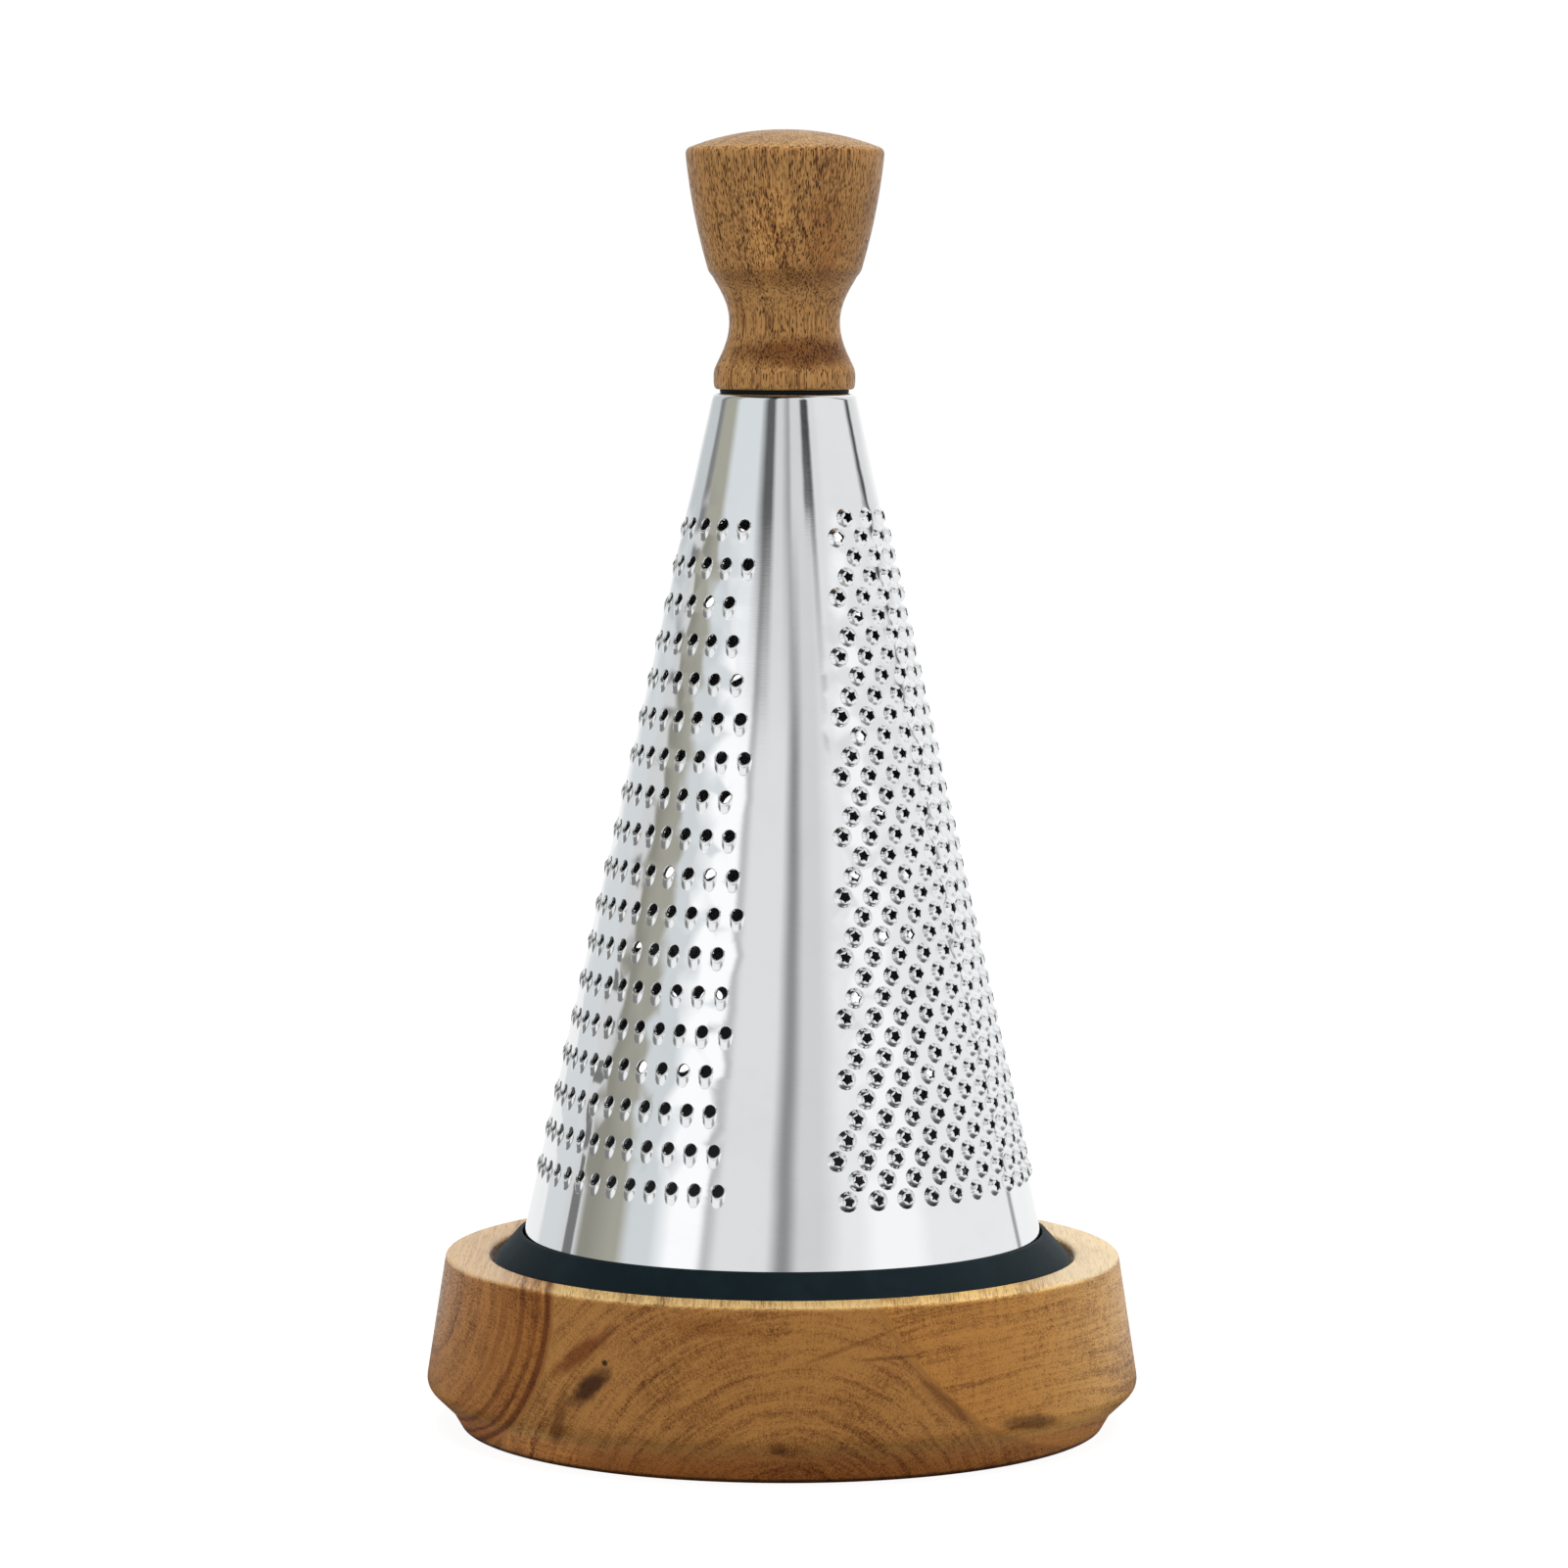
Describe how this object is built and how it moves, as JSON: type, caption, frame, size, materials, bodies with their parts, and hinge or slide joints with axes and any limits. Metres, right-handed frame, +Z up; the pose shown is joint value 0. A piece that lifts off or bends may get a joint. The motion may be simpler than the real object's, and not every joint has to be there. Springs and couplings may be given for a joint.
{
  "type": "cone cheese grater",
  "caption": "Conical steel cheese grater with shredding, rasp and coarse teeth, a turned wooden knob, and a rubber rim that stands in a round wooden tray.",
  "frame": {"origin": "centre of the tray's flat underside", "axes": "+Z up along the cone's axis; the plain strip between the shredding teeth and the rasp faces -Y, the shredding teeth lie towards -X and the rasp towards +X"},
  "size_m": [0.1244, 0.1244, 0.2257],
  "materials": {
    "tray_wood": "oiled end grain and side grain, smooth turned",
    "knob_wood": "oiled, smooth turned, open pores along the knob's axis",
    "steel": "polished stainless sheet",
    "rubber": "satin black",
    "brass": "machined"
  },
  "bodies": {
    "tray": {"tray_base": "tray_wood"},
    "rim": {"rim_ring": "rubber"},
    "grater": {"grater_cone": "steel", "knob": "knob_wood", "knob_gasket": "rubber", "knob_insert": "brass", "knob_screw": "steel", "screw_washer": "steel"}
  },
  "joints": [
    {"name": "grater_lift", "type": "slide", "parent": "tray", "child": "rim", "axis": [0, 0, 1], "range_m": [0, 0.08]},
    {"name": "grater_turn", "type": "hinge", "parent": "rim", "child": "grater", "pos_m": [0, 0, 0.03], "axis": [0, 0, 1], "continuous": true}
  ]
}
